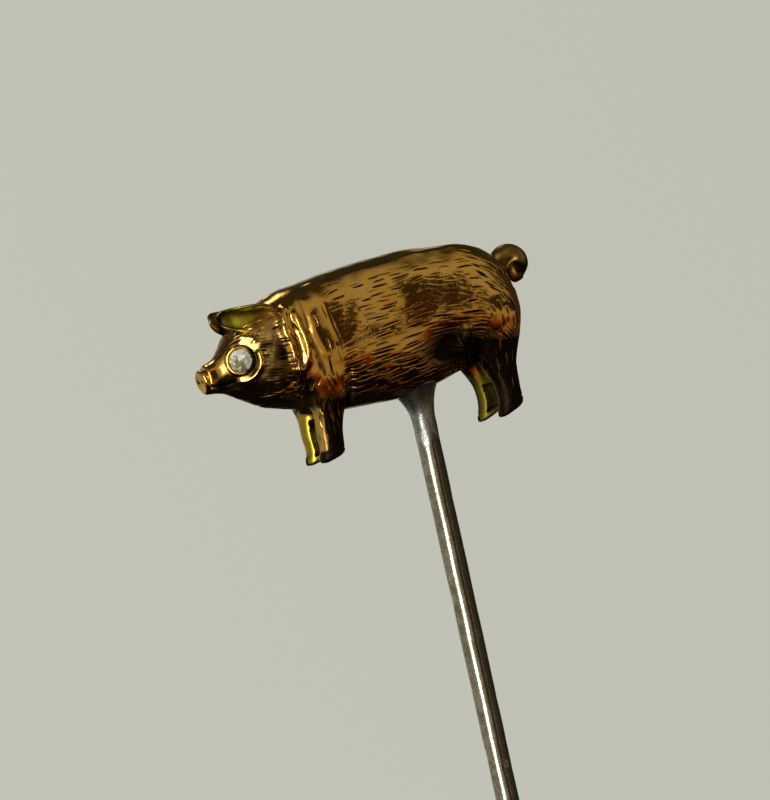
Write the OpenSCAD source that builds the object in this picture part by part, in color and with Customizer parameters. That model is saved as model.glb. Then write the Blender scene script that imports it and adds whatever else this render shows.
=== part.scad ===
// Figural stick pin: a hollow pig made of two struck half shells, soldered to a long round stem
// with a tapered point, and a ball-lock keeper that slides over the point.
// Millimetres. The pig looks along -X, +Z is up, and the stem runs down the Z axis.
// z = 0 is where the solder cone ends on the stem.

/* [Pig] */
// Length from the face of the snout to the rump
pig_len = 14.9; // [12.4:0.1:18]
// Height from the front hooves to the top of the back
pig_height = 8.2; // [6.8:0.1:9.9]
// Width across the flanks
pig_width = 4.8; // [4:0.1:5.8]
// Thickness of the struck sheet
shell_wall = 0.35; // [0.25:0.01:0.45]
// Distance from the stem axis forward to the snout
stem_to_snout = 9.7; // [9:0.1:11]
// How far the front hooves reach below the end of the solder cone
hoof_drop = 1; // [0.6:0.1:1.4]
// Width of a front shin, seen from the side
front_shin = 1.06; // [0.9:0.02:1.2]
// Width of a hind shin, seen from the side
hind_shin = 1; // [0.85:0.02:1.2]
// Gap between the inner edges of a pair of legs
leg_gap = 0.3; // [0.2:0.05:0.5]

/* [Face] */
// Diameter of the snout disc
snout_d = 1.26; // [1:0.02:1.5]
// Thickness of the snout disc
snout_t = 0.25; // [0.2:0.01:0.4]
// Downward tilt of the snout disc
snout_tilt = 12; // [0:1:20]
// Diameter of the paste stone
stone_d = 1.08; // [0.8:0.02:1.2]
// Wall of the collet around the stone
collet_wall = 0.17; // [0.12:0.01:0.25]
// Depth of the collet
collet_depth = 0.5; // [0.4:0.02:0.7]
// How far the collet is let into the head
collet_sunk = 0.2; // [0.12:0.01:0.28]
// Length of an ear
ear_len = 2.9; // [2.4:0.1:3.4]
// Height of an ear at its widest
ear_height = 1.5; // [1.2:0.05:1.7]
// Thickness of the cupped ear
ear_wall = 0.2; // [0.15:0.01:0.25]

/* [Tail] */
// Outer diameter of the tail curl
curl_d = 1.5; // [1.2:0.05:1.8]
// Thickness of the tail wire at the curl
tail_t = 0.68; // [0.5:0.02:0.74]
// Diameter of the tail root where it enters the rump
tail_root_d = 0.56; // [0.4:0.02:0.7]

/* [Stem] */
// Diameter of the stem
stem_d = 0.96; // [0.8:0.02:1.1]
// Length of the stem below the solder cone
stem_len = 56; // [46:1:68]
// Length of the tapered point
point_len = 7; // [5:0.5:8]
// How much the stem's radius shrinks above the keeper
stem_taper = 0.02; // [0.01:0.01:0.04]
// Length over which it shrinks
taper_len = 5; // [3:0.5:8]
// How much the end inside the solder is filed down
stem_relief = 0.18; // [0.16:0.01:0.24]
// Radius of the solder cone where it meets the belly
solder_r = 0.95; // [0.8:0.05:1.1]
// Diameter of the anchor plate inside the belly
anchor_d = 1.9; // [1.6:0.1:2.2]
// Thickness of the anchor plate
anchor_t = 0.4; // [0.3:0.05:0.6]

/* [Keeper] */
// Outer diameter of the keeper barrel
keeper_d = 5; // [4.6:0.1:6]
// Length of the keeper barrel
barrel_len = 6; // [5.6:0.1:7.5]
// Thickness of the barrel's front plate
barrel_plate = 0.5; // [0.4:0.05:0.8]
// Wall of the barrel around the spring
barrel_wall = 0.5; // [0.4:0.05:0.6]
// Diameter of the lock balls
ball_d = 0.8; // [0.7:0.02:0.9]
// Number of lock balls
ball_count = 3; // [3:1:4]
// Slope of the cone that pinches the balls
cone_angle = 12; // [9:1:14]
// How far the knob is pulled to release the balls
release_travel = 0.8; // [0.6:0.05:1]
// Length of the knob
knob_len = 4.6; // [4.4:0.1:6]
// Diameter of the knob
knob_d = 4; // [3.6:0.1:4.6]
// Diameter of the spring wire
spring_wire = 0.22; // [0.18:0.01:0.26]
// Number of turns in the spring
spring_turns = 4; // [3:1:5]

/* [Fits] */
// Clearance of soldered pieces in their seats
seat_gap = 0.02; // [0.01:0.01:0.04]
// Running clearance on the radius
run_gap = 0.05; // [0.03:0.01:0.08]
// Gap between parts that stop against each other
stop_gap = 0.1; // [0.05:0.01:0.2]

/* [Hidden] */

ROSE_GOLD = "#b98246";
YELLOW_GOLD = "#b8962e";
GREY_SOLDER = "#85857f";
DULL_STEEL = "#77736a";
STONE = "#cfd2c4";
NICKEL = "#b9b7ae";

// Body sections from the snout to the rump: place along the length, top and bottom as shares of
// the height, and half width as a share of half the whole width
SECTIONS = [
    [0.012, 0.63, 0.47, 0.26],
    [0.035, 0.64, 0.47, 0.27],
    [0.067, 0.68, 0.46, 0.34],
    [0.1, 0.755, 0.42, 0.49],
    [0.155, 0.825, 0.365, 0.66],
    [0.235, 0.895, 0.325, 0.81],
    [0.33, 0.935, 0.275, 0.9],
    [0.45, 0.975, 0.245, 0.96],
    [0.585, 0.99, 0.245, 1],
    [0.69, 1, 0.275, 1],
    [0.8, 0.98, 0.33, 0.97],
    [0.88, 0.95, 0.375, 0.9],
    [0.94, 0.895, 0.42, 0.75],
    [0.98, 0.8, 0.49, 0.5],
    [1, 0.7, 0.58, 0.2]
];
STEPS = 3;     // rings between two sections
SIDES = 32;    // points around a ring
FULL = 0.9;    // under 1 makes a section fuller than an ellipse

// One leg joint is: place along the length, share of the height, share of half the width, and
// half sizes along X, Y and Z as shares of the shin's width
FRONT_LEG = [
    [0.34, 0.46, 0.4, 1.25, 0.8, 0.95],
    [0.335, 0.3, 0.36, 0.84, 0.68, 0.6],
    [0.332, 0.18, 0.33, 0.58, 0.53, 0.42],
    [0.33, 0.07, 0.31, 0.5, 0.47, 0.28],
    [0.33, 0.045, 0.31, 0.55, 0.51, 0.23],
    [0.328, 0.026, 0.31, 0.57, 0.53, 0.2]
];
HIND_LEG = [
    [0.875, 0.55, 0.42, 1.45, 1.0, 1.35],
    [0.885, 0.36, 0.42, 0.86, 0.8, 0.75],
    [0.897, 0.22, 0.43, 0.56, 0.58, 0.45],
    [0.9, 0.13, 0.43, 0.5, 0.52, 0.3],
    [0.9, 0.11, 0.43, 0.54, 0.55, 0.24],
    [0.888, 0.07, 0.43, 0.46, 0.55, 0.24]
];

snout_x = -stem_to_snout;
rump_x = snout_x + pig_len;
sole_z = -hoof_drop;
half_w = pig_width / 2;

stem_r = stem_d / 2;
grip_r = stem_r - stem_taper;
stone_r = stone_d / 2;
collet_r = stone_r + collet_wall;
ball_r = ball_d / 2;
curl_r = (curl_d - tail_t) / 2;

function along(s) = snout_x + s * pig_len;
function up(t) = sole_z + t * pig_height;

// Catmull-Rom value between b and c
function between(a, b, c, d, u) =
    b + u * (c - a) / 2 + u * u * (a - 2.5 * b + 2 * c - d / 2)
    + u * u * u * (3 * (b - c) + d - a) / 2;
function row(i) = SECTIONS[min(max(i, 0), len(SECTIONS) - 1)];
function smooth_row(i, u) = [for (k = [0:3]) between(row(i - 1)[k], row(i)[k], row(i + 1)[k],
                                                     row(i + 2)[k], u)];
smooth_rows = concat(
    [for (i = [0:len(SECTIONS) - 2]) for (j = [0:STEPS - 1]) smooth_row(i, j / STEPS)],
    [row(len(SECTIONS) - 1)]);

// Top, bottom and half width of the outside at any place along the length
function at_share(s, k) = lookup(s, [for (r = smooth_rows) [r[0], r[k]]]);
function top_at(x) = up(at_share((x - snout_x) / pig_len, 1));
function bottom_at(x) = up(at_share((x - snout_x) / pig_len, 2));
function side_at(x) = half_w * at_share((x - snout_x) / pig_len, 3);

function bulge(v) = sign(v) * pow(abs(v), FULL);
function body_ring(r, inset) =
    let (zc = (up(r[1]) + up(r[2])) / 2,
         hz = max((up(r[1]) - up(r[2])) / 2 - inset, 0.05),
         hy = max(half_w * r[3] - inset, 0.04),
         x = snout_x + r[0] * (pig_len - inset))
    [for (i = [0:SIDES - 1]) [x, hy * bulge(sin(i * 360 / SIDES)), zc + hz * cos(i * 360 / SIDES)]];

// Closed solid through a list of rings with the same number of points
module skin(rings) {
    n = len(rings[0]);
    m = len(rings);
    sides = [for (r = [0:m - 2]) for (i = [0:n - 1])
        [r * n + i, r * n + (i + 1) % n, (r + 1) * n + (i + 1) % n, (r + 1) * n + i]];
    first = [for (i = [n - 1:-1:0]) i];
    last = [for (i = [0:n - 1]) (m - 1) * n + i];
    polyhedron(points = [for (r = rings) each r], faces = concat([first], sides, [last]));
}

function limb_size(share, shin, grow) = max(share * shin + grow, 0.1);
module ball(p, shin, grow) {
    translate([along(p[0]), -p[2] * half_w, up(p[1])])
        scale([for (k = [3:5]) limb_size(p[k], shin, grow)]) sphere(1, $fn = 22);
}

// Limb of the left side: neighbouring joints blended into each other
module limb(joints, shin) {
    for (i = [0:len(joints) - 2])
        hull() {
            ball(joints[i], shin, 0);
            ball(joints[i + 1], shin, 0);
        }
}

// The struck legs are open to the median plane: the hollow is the limb, thinner by the wall and
// drawn out towards the plane
module limb_hollow(joints, shin) {
    for (i = [1:len(joints) - 2])
        hull() for (out = [0, half_w])
            translate([0, out, 0]) {
                ball(joints[i], shin, -shell_wall);
                ball(joints[i + 1], shin, -shell_wall);
            }
}

module body_outside() {
    skin([for (r = smooth_rows) body_ring(r, 0)]);
}

module body_hollow() {
    front = body_ring(smooth_rows[0], shell_wall);
    skin(concat([[for (p = front) [snout_x - 1, p[1], p[2]]]],
                [for (r = smooth_rows) body_ring(r, shell_wall)]));
}

module pig_outside() {
    body_outside();
    limb(FRONT_LEG, front_shin);
    limb(HIND_LEG, hind_shin);
}

// Everything on the left of the median plane
module left_side() {
    translate([-3 * pig_len, -3 * pig_width, -3 * pig_height])
        cube([6 * pig_len, 3 * pig_width, 6 * pig_height]);
}

module mirrored() {
    mirror([0, 1, 0]) children();
}

// ---- the pig's shells

module shell_left() {
    difference() {
        intersection() {
            pig_outside();
            left_side();
        }
        body_hollow();
        difference() {
            union() {
                limb_hollow(FRONT_LEG, front_shin);
                limb_hollow(HIND_LEG, hind_shin);
            }
            body_outside();
        }
        // between the legs the sheet stops short of the median plane
        difference() {
            translate([snout_x, -leg_gap / 2, sole_z - 1])
                cube([pig_len, leg_gap, pig_height]);
            body_outside();
        }
        at_snout() snout_plug(seat_gap);
        at_eye() cylinder(h = 2, r = collet_r + seat_gap, $fn = 64);
        solder_solid(seat_gap);
        tail_root(seat_gap);
    }
}

module body_shell_left() {
    color(ROSE_GOLD) shell_left();
}

module body_shell_right() {
    color(ROSE_GOLD) mirrored() shell_left();
}

// ---- snout

module at_snout() {
    zc = (up(SECTIONS[0][1]) + up(SECTIONS[0][2])) / 2;
    translate([along(SECTIONS[0][0]), 0, zc])
        rotate([0, -90 - snout_tilt, 0]) children();
}

// Room for the snout disc, from its back face outwards
module snout_plug(gap) {
    translate([0, 0, -gap]) cylinder(h = 3, r = snout_d, $fn = 48);
}

module snout_disc() {
    color(ROSE_GOLD) at_snout() difference() {
        rotate_extrude($fn = 64) polygon([
            [0, 0], [snout_d / 2 - 0.05, 0], [snout_d / 2, 0.05], [snout_d / 2, snout_t - 0.07],
            [snout_d / 2 - 0.07, snout_t], [0, snout_t]
        ]);
        for (side = [-1, 1])
            translate([0, side * snout_d * 0.17, snout_t - 0.1])
                cylinder(h = 1, r = snout_d * 0.09, $fn = 24);
    }
}

// ---- eye

eye_x = along(0.1);
eye_z = up(0.61);
eye_turn = 26;    // how far the stone looks forward from the side
eye_lift = 3;     // how far it looks up

// Origin on the collet's floor, +Z out of the head
module at_eye() {
    translate([eye_x, -side_at(eye_x) * 0.99, eye_z])
        rotate([0, 0, -eye_turn]) rotate([90 - eye_lift, 0, 0])
            translate([0, 0, -collet_sunk]) children();
}

seat_depth = collet_depth * 0.55;

module eye_collet() {
    rotate_extrude($fn = 64) polygon([
        [0, 0], [collet_r, 0], [collet_r, collet_depth - 0.12], [collet_r - 0.05, collet_depth],
        [stone_r, collet_depth], [stone_r, collet_depth - seat_depth],
        [stone_r * 0.5, collet_depth - seat_depth - 0.12], [0, collet_depth - seat_depth - 0.12]
    ]);
}

// Paste stone: flat table, sloping crown, thin girdle and a shallow foiled back
module eye_stone() {
    floor_z = collet_depth - seat_depth;
    rotate_extrude($fn = 64) polygon([
        [0, floor_z - 0.1], [stone_r * 0.5, floor_z - 0.1], [stone_r - seat_gap, floor_z + 0.03],
        [stone_r - seat_gap, collet_depth - 0.06], [stone_r * 0.58, collet_depth + 0.12],
        [0, collet_depth + 0.12]
    ]);
}

module eye_collet_left() {
    color(YELLOW_GOLD) at_eye() eye_collet();
}

module eye_collet_right() {
    color(YELLOW_GOLD) mirrored() at_eye() eye_collet();
}

module eye_stone_left() {
    color(STONE) at_eye() eye_stone();
}

module eye_stone_right() {
    color(STONE) mirrored() at_eye() eye_stone();
}

// ---- ears

// Ear rings from the back of the base to the tip: share of the ear's length, outward and upward
// place of the centre as shares of the pig, and two half sizes as shares of the ear's height
EAR = [
    [0, 0.54, 0.82, 0.1, 0.16],
    [0.06, 0.55, 0.817, 0.22, 0.34],
    [0.2, 0.53, 0.815, 0.3, 0.48],
    [0.4, 0.465, 0.82, 0.31, 0.5],
    [0.6, 0.375, 0.832, 0.27, 0.42],
    [0.8, 0.25, 0.85, 0.2, 0.29],
    [0.95, 0.125, 0.862, 0.11, 0.15],
    [1, 0.085, 0.866, 0.05, 0.07]
];
ear_back_x = along(0.235);

module ear_bit(r, grow, out) {
    sizes = [for (k = [3, 4]) max(r[k] * ear_height + grow, 0.03)];
    translate([ear_back_x - r[0] * ear_len, -r[1] * half_w - out, up(r[2])])
        scale([0.12, sizes[0], sizes[1]]) sphere(1, $fn = 22);
}

module ear_solid(grow, out, from = 0) {
    for (i = [from:len(EAR) - 2])
        hull() {
            ear_bit(EAR[i], grow, out);
            ear_bit(EAR[i + 1], grow, out);
        }
}

module ear_cup() {
    difference() {
        ear_solid(0, 0);
        ear_solid(-ear_wall, ear_wall * 1.3, 1);
        ear_solid(-ear_wall, ear_wall * 2.2, 1);
        body_outside();
        at_eye() cylinder(h = 2, r = collet_r + seat_gap, $fn = 64);
    }
}

module ear_left() {
    color(YELLOW_GOLD) ear_cup();
}

module ear_right() {
    color(YELLOW_GOLD) mirrored() ear_cup();
}

// ---- tail

curl_z = up(0.823);
root_z = up(0.79);
// Where the outline of the rump is at a height
function rump_at(z) = lookup(z, [for (i = [len(smooth_rows) - 1:-1:len(smooth_rows) - 12])
    [up(smooth_rows[i][1]), along(smooth_rows[i][0])]]);
curl_x = rump_at(curl_z) + curl_d / 2 + stop_gap;
root_x = rump_at(root_z) - 2 * shell_wall;

// Straight root that is soldered into the rump, along X
module tail_root(gap) {
    translate([root_x, 0, root_z]) rotate([0, 90, 0])
        cylinder(h = curl_x - curl_r - root_x, r = tail_root_d / 2 + gap, $fn = 48);
}

module tail() {
    color(ROSE_GOLD) {
        tail_root(0);
        translate([curl_x, 0, curl_z]) rotate([90, 0, 0])
            rotate_extrude($fn = 64) translate([curl_r, 0]) circle(r = tail_t / 2, $fn = 40);
        translate([curl_x + curl_r * 0.35, 0, curl_z - curl_d * 0.72]) rotate([0, 10, 0])
            cylinder(h = curl_d * 0.5, r1 = tail_t * 0.3, r2 = tail_t * 0.42, $fn = 40);
    }
}

// ---- solder and stem

// Solder run along the inside of the spine, just under the sheet
SEAM_R = 0.3;
module seam_solder() {
    rows = [for (r = smooth_rows) if (r[0] > 0.2 && r[0] < 0.9) r];
    color(GREY_SOLDER) skin([for (r = rows)
        let (crown = body_ring(r, shell_wall)[0], zc = crown[2] - SEAM_R - seat_gap / 2)
        [for (k = [0:9]) [crown[0], SEAM_R * sin(k * 36), zc + SEAM_R * cos(k * 36)]]]);
}

// The anchor plate lies where the hollow has just become wide enough for it
anchor_r = anchor_d / 2;
hollow_hz = (top_at(0) - bottom_at(0)) / 2 - shell_wall;
edge_share = pow(anchor_r / (side_at(0) - shell_wall), 1 / FULL);
side_floor = (top_at(0) + bottom_at(0)) / 2 - hollow_hz * sqrt(1 - edge_share * edge_share);
anchor_z = max(side_floor, bottom_at(anchor_r) + shell_wall) + stop_gap;
solder_top = bottom_at(0) + shell_wall / 2;

// Cone outside the belly and a plug through it up to the anchor plate
module solder_solid(gap) {
    lip = stem_r + 0.03;
    plug = solder_r * 0.8 + gap;
    rotate_extrude($fn = 64) polygon(concat(
        [[0, -gap]],
        [for (i = [0:6]) let (u = i / 6)
            [lip + gap + (solder_r - lip) * pow(u, 1.9), u * solder_top]],
        [[plug, solder_top + shell_wall], [plug, anchor_z], [0, anchor_z]]
    ));
}

module belly_solder() {
    color(GREY_SOLDER) difference() {
        solder_solid(0);
        translate([0, 0, -1]) cylinder(h = 2 * pig_height, r = stem_r - stem_relief, $fn = 64);
    }
}

module stem_anchor() {
    color(YELLOW_GOLD) difference() {
        translate([0, 0, anchor_z]) cylinder(h = anchor_t, r = anchor_r, $fn = 64);
        translate([0, 0, -1]) cylinder(h = 2 * pig_height, r = stem_r - stem_relief, $fn = 64);
    }
}

tip_r = 0.05;
module pin_stem() {
    top = anchor_z + anchor_t;
    grip_top = barrel_top + 1;   // the filed length ends just above the keeper
    color(DULL_STEEL) rotate_extrude($fn = 64) polygon([
        [0, -stem_len], [tip_r * 0.8, -stem_len], [tip_r * 1.6, -stem_len + tip_r],
        [grip_r * 0.55, -stem_len + point_len * 0.45], [grip_r, -stem_len + point_len],
        [grip_r, grip_top], [stem_r, grip_top + taper_len], [stem_r, 0],
        [stem_r - stem_relief, 0], [stem_r - stem_relief, top], [0, top]
    ]);
}

// ---- keeper, drawn from its lower end upwards

knob_floor = 0.9;
point_gap = 0.4;
knob_z = -stem_len - point_gap - knob_floor;
barrel_z = knob_z + knob_len + stop_gap;
barrel_top = barrel_z + barrel_len;
pin_bore_r = grip_r + run_gap;
ball_ring_r = grip_r + ball_r + 0.02;
neck_r = pin_bore_r + 0.4;
flange_t = 0.5;
flange_r = keeper_d / 2 - barrel_wall - run_gap;
cap_t = 0.7;
cage_len = 2 * (release_travel + stop_gap);
cage_top = barrel_top - barrel_plate - stop_gap;
ball_z = cage_top - cage_len / 2;
flange_z = cage_top - cage_len - flange_t;
spring_bottom = barrel_z + cap_t;
// The cone just clears the balls at rest
cone_r_at_ball = ball_ring_r + ball_r / cos(cone_angle) + 0.02;
cone_top_r = cone_r_at_ball - (barrel_top - barrel_plate - ball_z) * tan(cone_angle);
cone_bottom_z = flange_z + flange_t + stop_gap;
cone_bottom_r = cone_r_at_ball + (ball_z - cone_bottom_z) * tan(cone_angle);
cage_r = cone_top_r - run_gap;

module keeper_barrel() {
    r = keeper_d / 2;
    bore = r - barrel_wall;
    color(NICKEL) rotate_extrude($fn = 96) polygon([
        [pin_bore_r, barrel_top], [r - 0.5, barrel_top], [r, barrel_top - 0.5], [r, barrel_z],
        [bore, barrel_z], [bore, cone_bottom_z], [cone_bottom_r, cone_bottom_z],
        [cone_top_r, barrel_top - barrel_plate], [pin_bore_r, barrel_top - barrel_plate]
    ]);
}

module keeper_cap() {
    color(NICKEL) translate([0, 0, barrel_z]) difference() {
        cylinder(h = cap_t, r = keeper_d / 2 - barrel_wall, $fn = 96);
        translate([0, 0, -1]) cylinder(h = cap_t + 2, r = neck_r + run_gap, $fn = 64);
    }
}

knob_socket = 1.6;

module keeper_plunger() {
    color(NICKEL) difference() {
        union() {
            translate([0, 0, flange_z]) cylinder(h = cage_top - flange_z, r = cage_r, $fn = 64);
            translate([0, 0, flange_z]) cylinder(h = flange_t, r = flange_r, $fn = 96);
            translate([0, 0, knob_z + knob_len - knob_socket])
                cylinder(h = flange_z - knob_z - knob_len + knob_socket, r = neck_r, $fn = 64);
        }
        translate([0, 0, knob_z]) cylinder(h = 4 * barrel_len, r = pin_bore_r, $fn = 64);
        for (i = [0:ball_count - 1])
            rotate([0, 0, i * 360 / ball_count]) translate([0, 0, ball_z]) rotate([0, 90, 0])
                cylinder(h = keeper_d, r = ball_r + seat_gap, $fn = 48);
    }
}

module keeper_balls() {
    color(DULL_STEEL) for (i = [0:ball_count - 1])
        rotate([0, 0, i * 360 / ball_count]) translate([ball_ring_r, 0, ball_z])
            sphere(ball_r, $fn = 48);
}

// Spring between the cap and the plunger's flange
module keeper_spring() {
    coil_r = (neck_r + flange_r) / 2 + 0.1;
    w = spring_wire / 2;
    low = spring_bottom + w + 0.01;
    high = flange_z - w - 0.01;
    rings_per_turn = 18;
    color(DULL_STEEL) skin([for (i = [0:spring_turns * rings_per_turn])
        let (a = i * 360 / rings_per_turn, z = low + (high - low) * i / (spring_turns * rings_per_turn))
        [for (k = [7:-1:0]) let (c = coil_r + w * cos(k * 45))
            [c * cos(a), c * sin(a), z + w * sin(k * 45)]]]);
}

module keeper_knob() {
    r = knob_d / 2;
    color(NICKEL) difference() {
        translate([0, 0, knob_z]) rotate_extrude($fn = 96) polygon([
            [0, 0], [r - 0.6, 0], [r - 0.12, 0.35], [r, 0.8], [r, knob_len - 2.2],
            [r - 0.5, knob_len - 1.9], [r - 0.5, knob_len - 0.9], [r, knob_len - 0.6],
            [r, knob_len - 0.1], [r - 0.1, knob_len], [0, knob_len]
        ]);
        translate([0, 0, knob_z + knob_len - knob_socket])
            cylinder(h = knob_len, r = neck_r, $fn = 64);
        translate([0, 0, knob_z + knob_floor]) cylinder(h = knob_len, r = pin_bore_r, $fn = 64);
    }
}

body_shell_left();
body_shell_right();
snout_disc();
ear_left();
ear_right();
eye_collet_left();
eye_collet_right();
eye_stone_left();
eye_stone_right();
tail();
seam_solder();
stem_anchor();
belly_solder();
pin_stem();
keeper_barrel();
keeper_cap();
keeper_plunger();
keeper_balls();
keeper_spring();
keeper_knob();
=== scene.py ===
"""Antique stick pin: a gilt pig struck in two halves, soldered to a long stem with a ball-lock keeper.

Shapes are worked out in millimetres, in the frame's own axes, and are turned into metres as they are
made. The pig looks along -X, its left side is -Y, and the stem runs down the Z axis.
"""

import math

import bmesh
import bpy
import numpy as np
from mathutils import Matrix, Vector


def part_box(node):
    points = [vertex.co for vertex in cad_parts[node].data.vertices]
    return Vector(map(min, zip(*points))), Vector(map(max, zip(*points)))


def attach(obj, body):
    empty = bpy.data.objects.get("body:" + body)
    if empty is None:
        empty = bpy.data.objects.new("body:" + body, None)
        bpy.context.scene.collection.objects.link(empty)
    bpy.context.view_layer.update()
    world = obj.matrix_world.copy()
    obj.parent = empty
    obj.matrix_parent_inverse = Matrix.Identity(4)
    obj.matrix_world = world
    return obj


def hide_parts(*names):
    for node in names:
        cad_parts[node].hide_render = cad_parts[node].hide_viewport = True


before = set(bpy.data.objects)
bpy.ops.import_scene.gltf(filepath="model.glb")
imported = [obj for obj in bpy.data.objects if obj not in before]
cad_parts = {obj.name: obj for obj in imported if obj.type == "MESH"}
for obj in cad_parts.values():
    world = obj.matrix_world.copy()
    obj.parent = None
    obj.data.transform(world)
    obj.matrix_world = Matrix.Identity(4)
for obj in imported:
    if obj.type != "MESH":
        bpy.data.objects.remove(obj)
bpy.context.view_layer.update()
MM = 0.001


def box_mm(node):
    """Lowest and highest corner of a CAD node, in millimetres."""
    low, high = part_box(node)
    return np.array(low) / MM, np.array(high) / MM


# ---- camera and studio

def put_camera():
    """A long lens level with the pig's left flank, rolled so that the stem leans."""
    turn, rise, roll = (math.radians(a) for a in (-24.0, 0.0, 12.45))
    distance = 0.450
    view_height = 0.03404
    aim_right, aim_up = -0.00143, 0.00108
    back = Vector((math.sin(turn) * math.cos(rise), -math.cos(turn) * math.cos(rise), math.sin(rise)))
    right = Vector((math.cos(turn), math.sin(turn), 0))
    up = back.cross(right)
    aim = right * aim_right + Vector((0, 0, aim_up))
    rolled_up = up * math.cos(roll) + right * math.sin(roll)
    rolled_right = right * math.cos(roll) - up * math.sin(roll)
    data = bpy.data.cameras.new("camera")
    data.lens = data.sensor_width * distance / view_height
    data.clip_start, data.clip_end = 0.005, 5
    camera = bpy.data.objects.new("camera", data)
    place = aim + back * distance
    camera.matrix_world = Matrix((rolled_right, rolled_up, back)).transposed().to_4x4()
    camera.matrix_world.translation = place
    bpy.context.scene.collection.objects.link(camera)
    bpy.context.scene.camera = camera


put_camera()


# ---- colours and shader nodes

def srgb(code):
    """Linear RGBA of a six-digit sRGB hex colour."""
    parts = [int(code[i:i + 2], 16) / 255 for i in (0, 2, 4)]
    return [c / 12.92 if c <= 0.04045 else ((c + 0.055) / 1.055) ** 2.4 for c in parts] + [1.0]


def add(tree, kind, links=None, **settings):
    """Adds a shader node. A setting named like one of the node's own settings sets that, any other sets a
    socket, and links joins other nodes' outputs to its sockets."""
    made = tree.nodes.new(kind)
    for name, value in settings.items():
        if hasattr(made, name):
            setattr(made, name, value)
    for name, value in settings.items():
        if not hasattr(made, name):
            made.inputs[name.replace("_", " ")].default_value = value
    for socket, source in (links or {}).items():
        tree.links.new(source, made.inputs[socket])
    return made


def ramp(tree, source, stops):
    """Colour ramp over (place, hex colour or grey) stops."""
    made = add(tree, "ShaderNodeValToRGB", {"Fac": source})
    points = made.color_ramp.elements
    while len(points) < len(stops):
        points.new(0.5)
    for point, (place, value) in zip(points, stops):
        point.position = place
        point.color = srgb(value) if isinstance(value, str) else (value, value, value, 1)
    return made.outputs["Color"]


def mixed(tree, share, first, second):
    """Colour between two, each a hex colour, a brightness as (red, green, blue) or another node's output."""
    made = add(tree, "ShaderNodeMix", {0: share}, data_type="RGBA")
    for socket, colour in ((6, first), (7, second)):
        if isinstance(colour, str):
            made.inputs[socket].default_value = srgb(colour)
        elif isinstance(colour, tuple):
            made.inputs[socket].default_value = (*colour, 1)
        else:
            tree.links.new(colour, made.inputs[socket])
    return made.outputs[2]


def sums(tree, operation, first, second):
    """Sum, product or greater of two outputs, or of an output and a number."""
    made = add(tree, "ShaderNodeMath", {0: first}, operation=operation)
    if isinstance(second, (int, float)):
        made.inputs[1].default_value = second
    else:
        tree.links.new(second, made.inputs[1])
    return made.outputs[0]


def noise(tree, place, size_mm, detail=3.0, roughness=0.5):
    """Noise whose grain is this many millimetres."""
    return add(tree, "ShaderNodeTexNoise", {"Vector": place}, Scale=1 / (size_mm * MM), Detail=detail,
               Roughness=roughness).outputs["Fac"]


def new_material(name, metal=1.0):
    """Empty material with a Principled shader on its output."""
    made = bpy.data.materials.new(name)
    made.use_nodes = True
    tree = made.node_tree
    tree.nodes.clear()
    out = tree.nodes.new("ShaderNodeOutputMaterial")
    shader = tree.nodes.new("ShaderNodeBsdfPrincipled")
    tree.links.new(shader.outputs["BSDF"], out.inputs["Surface"])
    shader.inputs["Metallic"].default_value = metal
    return made, tree, shader


def wire_up(tree, shader, colour, rough, height, strength, depth_mm):
    tree.links.new(colour, shader.inputs["Base Color"])
    tree.links.new(rough, shader.inputs["Roughness"])
    bump = add(tree, "ShaderNodeBump", {"Height": height}, Strength=strength, Distance=depth_mm * MM)
    tree.links.new(bump.outputs["Normal"], shader.inputs["Normal"])


def gilt(name, polished, worn, hollow, patina_and_shade):
    """Struck gilding metal, plated and polished: mirror bright where it is rubbed, dark and dull with old
    polish and soiling down in the engraved hair and with painted shade carried in the same mark, and yellower in
    hollows that were never rubbed."""
    made, tree, shader = new_material(name)
    place = add(tree, "ShaderNodeTexCoord").outputs["Object"]
    cut_in = add(tree, "ShaderNodeAttribute", attribute_name="tarnish_and_shade").outputs["Fac"]
    hidden = add(tree, "ShaderNodeAttribute", attribute_name="inside").outputs["Fac"]
    blotch = noise(tree, place, 1.6, 4.0, 0.6)
    fine = noise(tree, place, 0.1, 3.0)
    speck = ramp(tree, noise(tree, place, 0.28, 5.0, 0.7), [(0.62, 0.0), (0.74, 1.0)])
    # the mark carries the depth of the cuts and also painted shade, so this darkens with tarnish in the cuts and with
    # painted shade
    dirt_and_shade = sums(tree, "MAXIMUM", ramp(tree, cut_in, [(0.1, 0.0), (0.6, 1.0)]),
                sums(tree, "MULTIPLY", speck, 0.55))
    gold = mixed(tree, ramp(tree, blotch, [(0.35, 0.0), (0.7, 1.0)]), polished, worn)
    gold = mixed(tree, hidden, gold, hollow)
    gold = mixed(tree, dirt_and_shade, gold, patina_and_shade)
    rough = sums(tree, "ADD", ramp(tree, fine, [(0.3, 0.1), (0.8, 0.2)]), sums(tree, "MULTIPLY", dirt_and_shade, 0.35))
    rough = sums(tree, "ADD", rough, sums(tree, "MULTIPLY", hidden, 0.2))
    wire_up(tree, shader, gold, rough, fine, 0.25, 0.012)
    return made


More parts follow.
